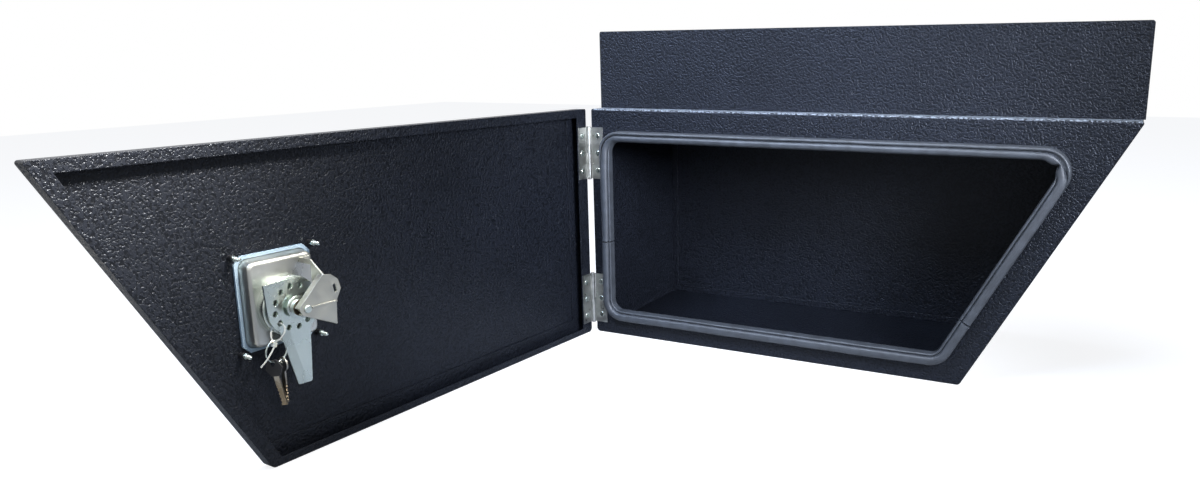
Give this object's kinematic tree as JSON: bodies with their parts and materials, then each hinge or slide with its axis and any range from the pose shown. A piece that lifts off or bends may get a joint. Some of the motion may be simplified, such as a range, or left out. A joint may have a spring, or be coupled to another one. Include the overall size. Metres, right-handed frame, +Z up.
{
  "type": "under-tray vehicle toolbox",
  "caption": "Tapered steel under-tray toolbox with a side-hinged pan door, recessed folding T-handle lock, bulb seal and a tall mounting upstand.",
  "frame": {"origin": "middle of the box's underside", "axes": "+Z up, +X along the front from the hinge end to the slanted end, +Y from the door opening into the box"},
  "size_m": [0.9604, 1.1597, 0.53],
  "materials": {
    "powder_coat": "black powder coat with a fine wrinkle texture",
    "seal_rubber": "dark grey EPDM bulb seal, ribbed along its run",
    "stainless": "satin stainless steel",
    "zinc_plate": "bright bluish zinc plate",
    "grey_gasket": "pale blue-grey gasket",
    "black_plastic": "matt black moulded plastic",
    "nylon": "natural nylon",
    "key_metal": "worn nickel over brass"
  },
  "bodies": {
    "box": {"front_panel": "powder_coat", "back_panel": "powder_coat", "rear_lap_frame": "powder_coat", "floor_panel": "powder_coat", "slanted_end_panel": "powder_coat", "top_panel": "powder_coat", "hinge_end_panel": "powder_coat", "mounting_upstand": "powder_coat", "upper_seal": "seal_rubber", "lower_seal": "seal_rubber", "upper_hinge_box_leaf": "stainless", "lower_hinge_box_leaf": "stainless", "box_leaf_rivets": "stainless", "upper_hinge_pin": "stainless", "lower_hinge_pin": "stainless"},
    "door": {"door_pan": "powder_coat", "door_bottom_bar": "powder_coat", "door_hinge_bar": "powder_coat", "upper_hinge_door_leaf": "stainless", "lower_hinge_door_leaf": "stainless", "door_leaf_rivets": "stainless", "lock_dish": "stainless", "lock_gasket": "grey_gasket", "lock_studs": "zinc_plate", "stud_sleeves": "black_plastic", "stud_nuts": "zinc_plate", "lock_drum": "stainless", "bridge_bracket": "stainless"},
    "cam": {"spindle": "zinc_plate", "cam_plate": "zinc_plate", "cam_hub": "zinc_plate", "handle_clevis": "stainless", "fold_pin": "stainless", "cable_tie": "nylon"},
    "handle": {"t_handle": "stainless"},
    "key_barrel": {"key_plug": "stainless"},
    "ring": {"key_ring": "zinc_plate"},
    "first_key": {"plain_key": "key_metal"},
    "second_key": {"key_head": "black_plastic", "headed_key_blade": "key_metal"}
  },
  "joints": [
    {"name": "door_hinge", "type": "hinge", "parent": "box", "child": "door", "pos_m": [-0.3216, -0.1576, 0.2], "axis": [0, 0, -1], "range_deg": [-95.7, 84.3]},
    {"name": "cam_turn", "type": "hinge", "parent": "door", "child": "cam", "pos_m": [-0.38394, -0.75597, 0.2], "axis": [-0.9951, 0.0993, 0], "range_deg": [0, 90]},
    {"name": "handle_fold", "type": "hinge", "parent": "cam", "child": "handle", "pos_m": [-0.39439, -0.75492, 0.2], "axis": [0.0993, 0.9951, 0], "range_deg": [0, 90]},
    {"name": "key_turn", "type": "hinge", "parent": "handle", "child": "key_barrel", "pos_m": [-0.39439, -0.75492, 0.18], "axis": [-0.9951, 0.0993, 0], "range_deg": [0, 90]},
    {"name": "ring_swing", "type": "hinge", "parent": "cam", "child": "ring", "pos_m": [-0.36832, -0.78781, 0.16585], "axis": [-0.9951, 0.0993, 0], "range_deg": [0, 8]},
    {"name": "first_key_swing", "type": "hinge", "parent": "ring", "child": "first_key", "pos_m": [-0.36769, -0.78151, 0.14043], "axis": [-0.0993, -0.9951, 0], "range_deg": [-15, 15]},
    {"name": "second_key_swing", "type": "hinge", "parent": "ring", "child": "second_key", "pos_m": [-0.36895, -0.79412, 0.14043], "axis": [-0.2807, 0.9598, 0], "range_deg": [-3, 8]}
  ]
}
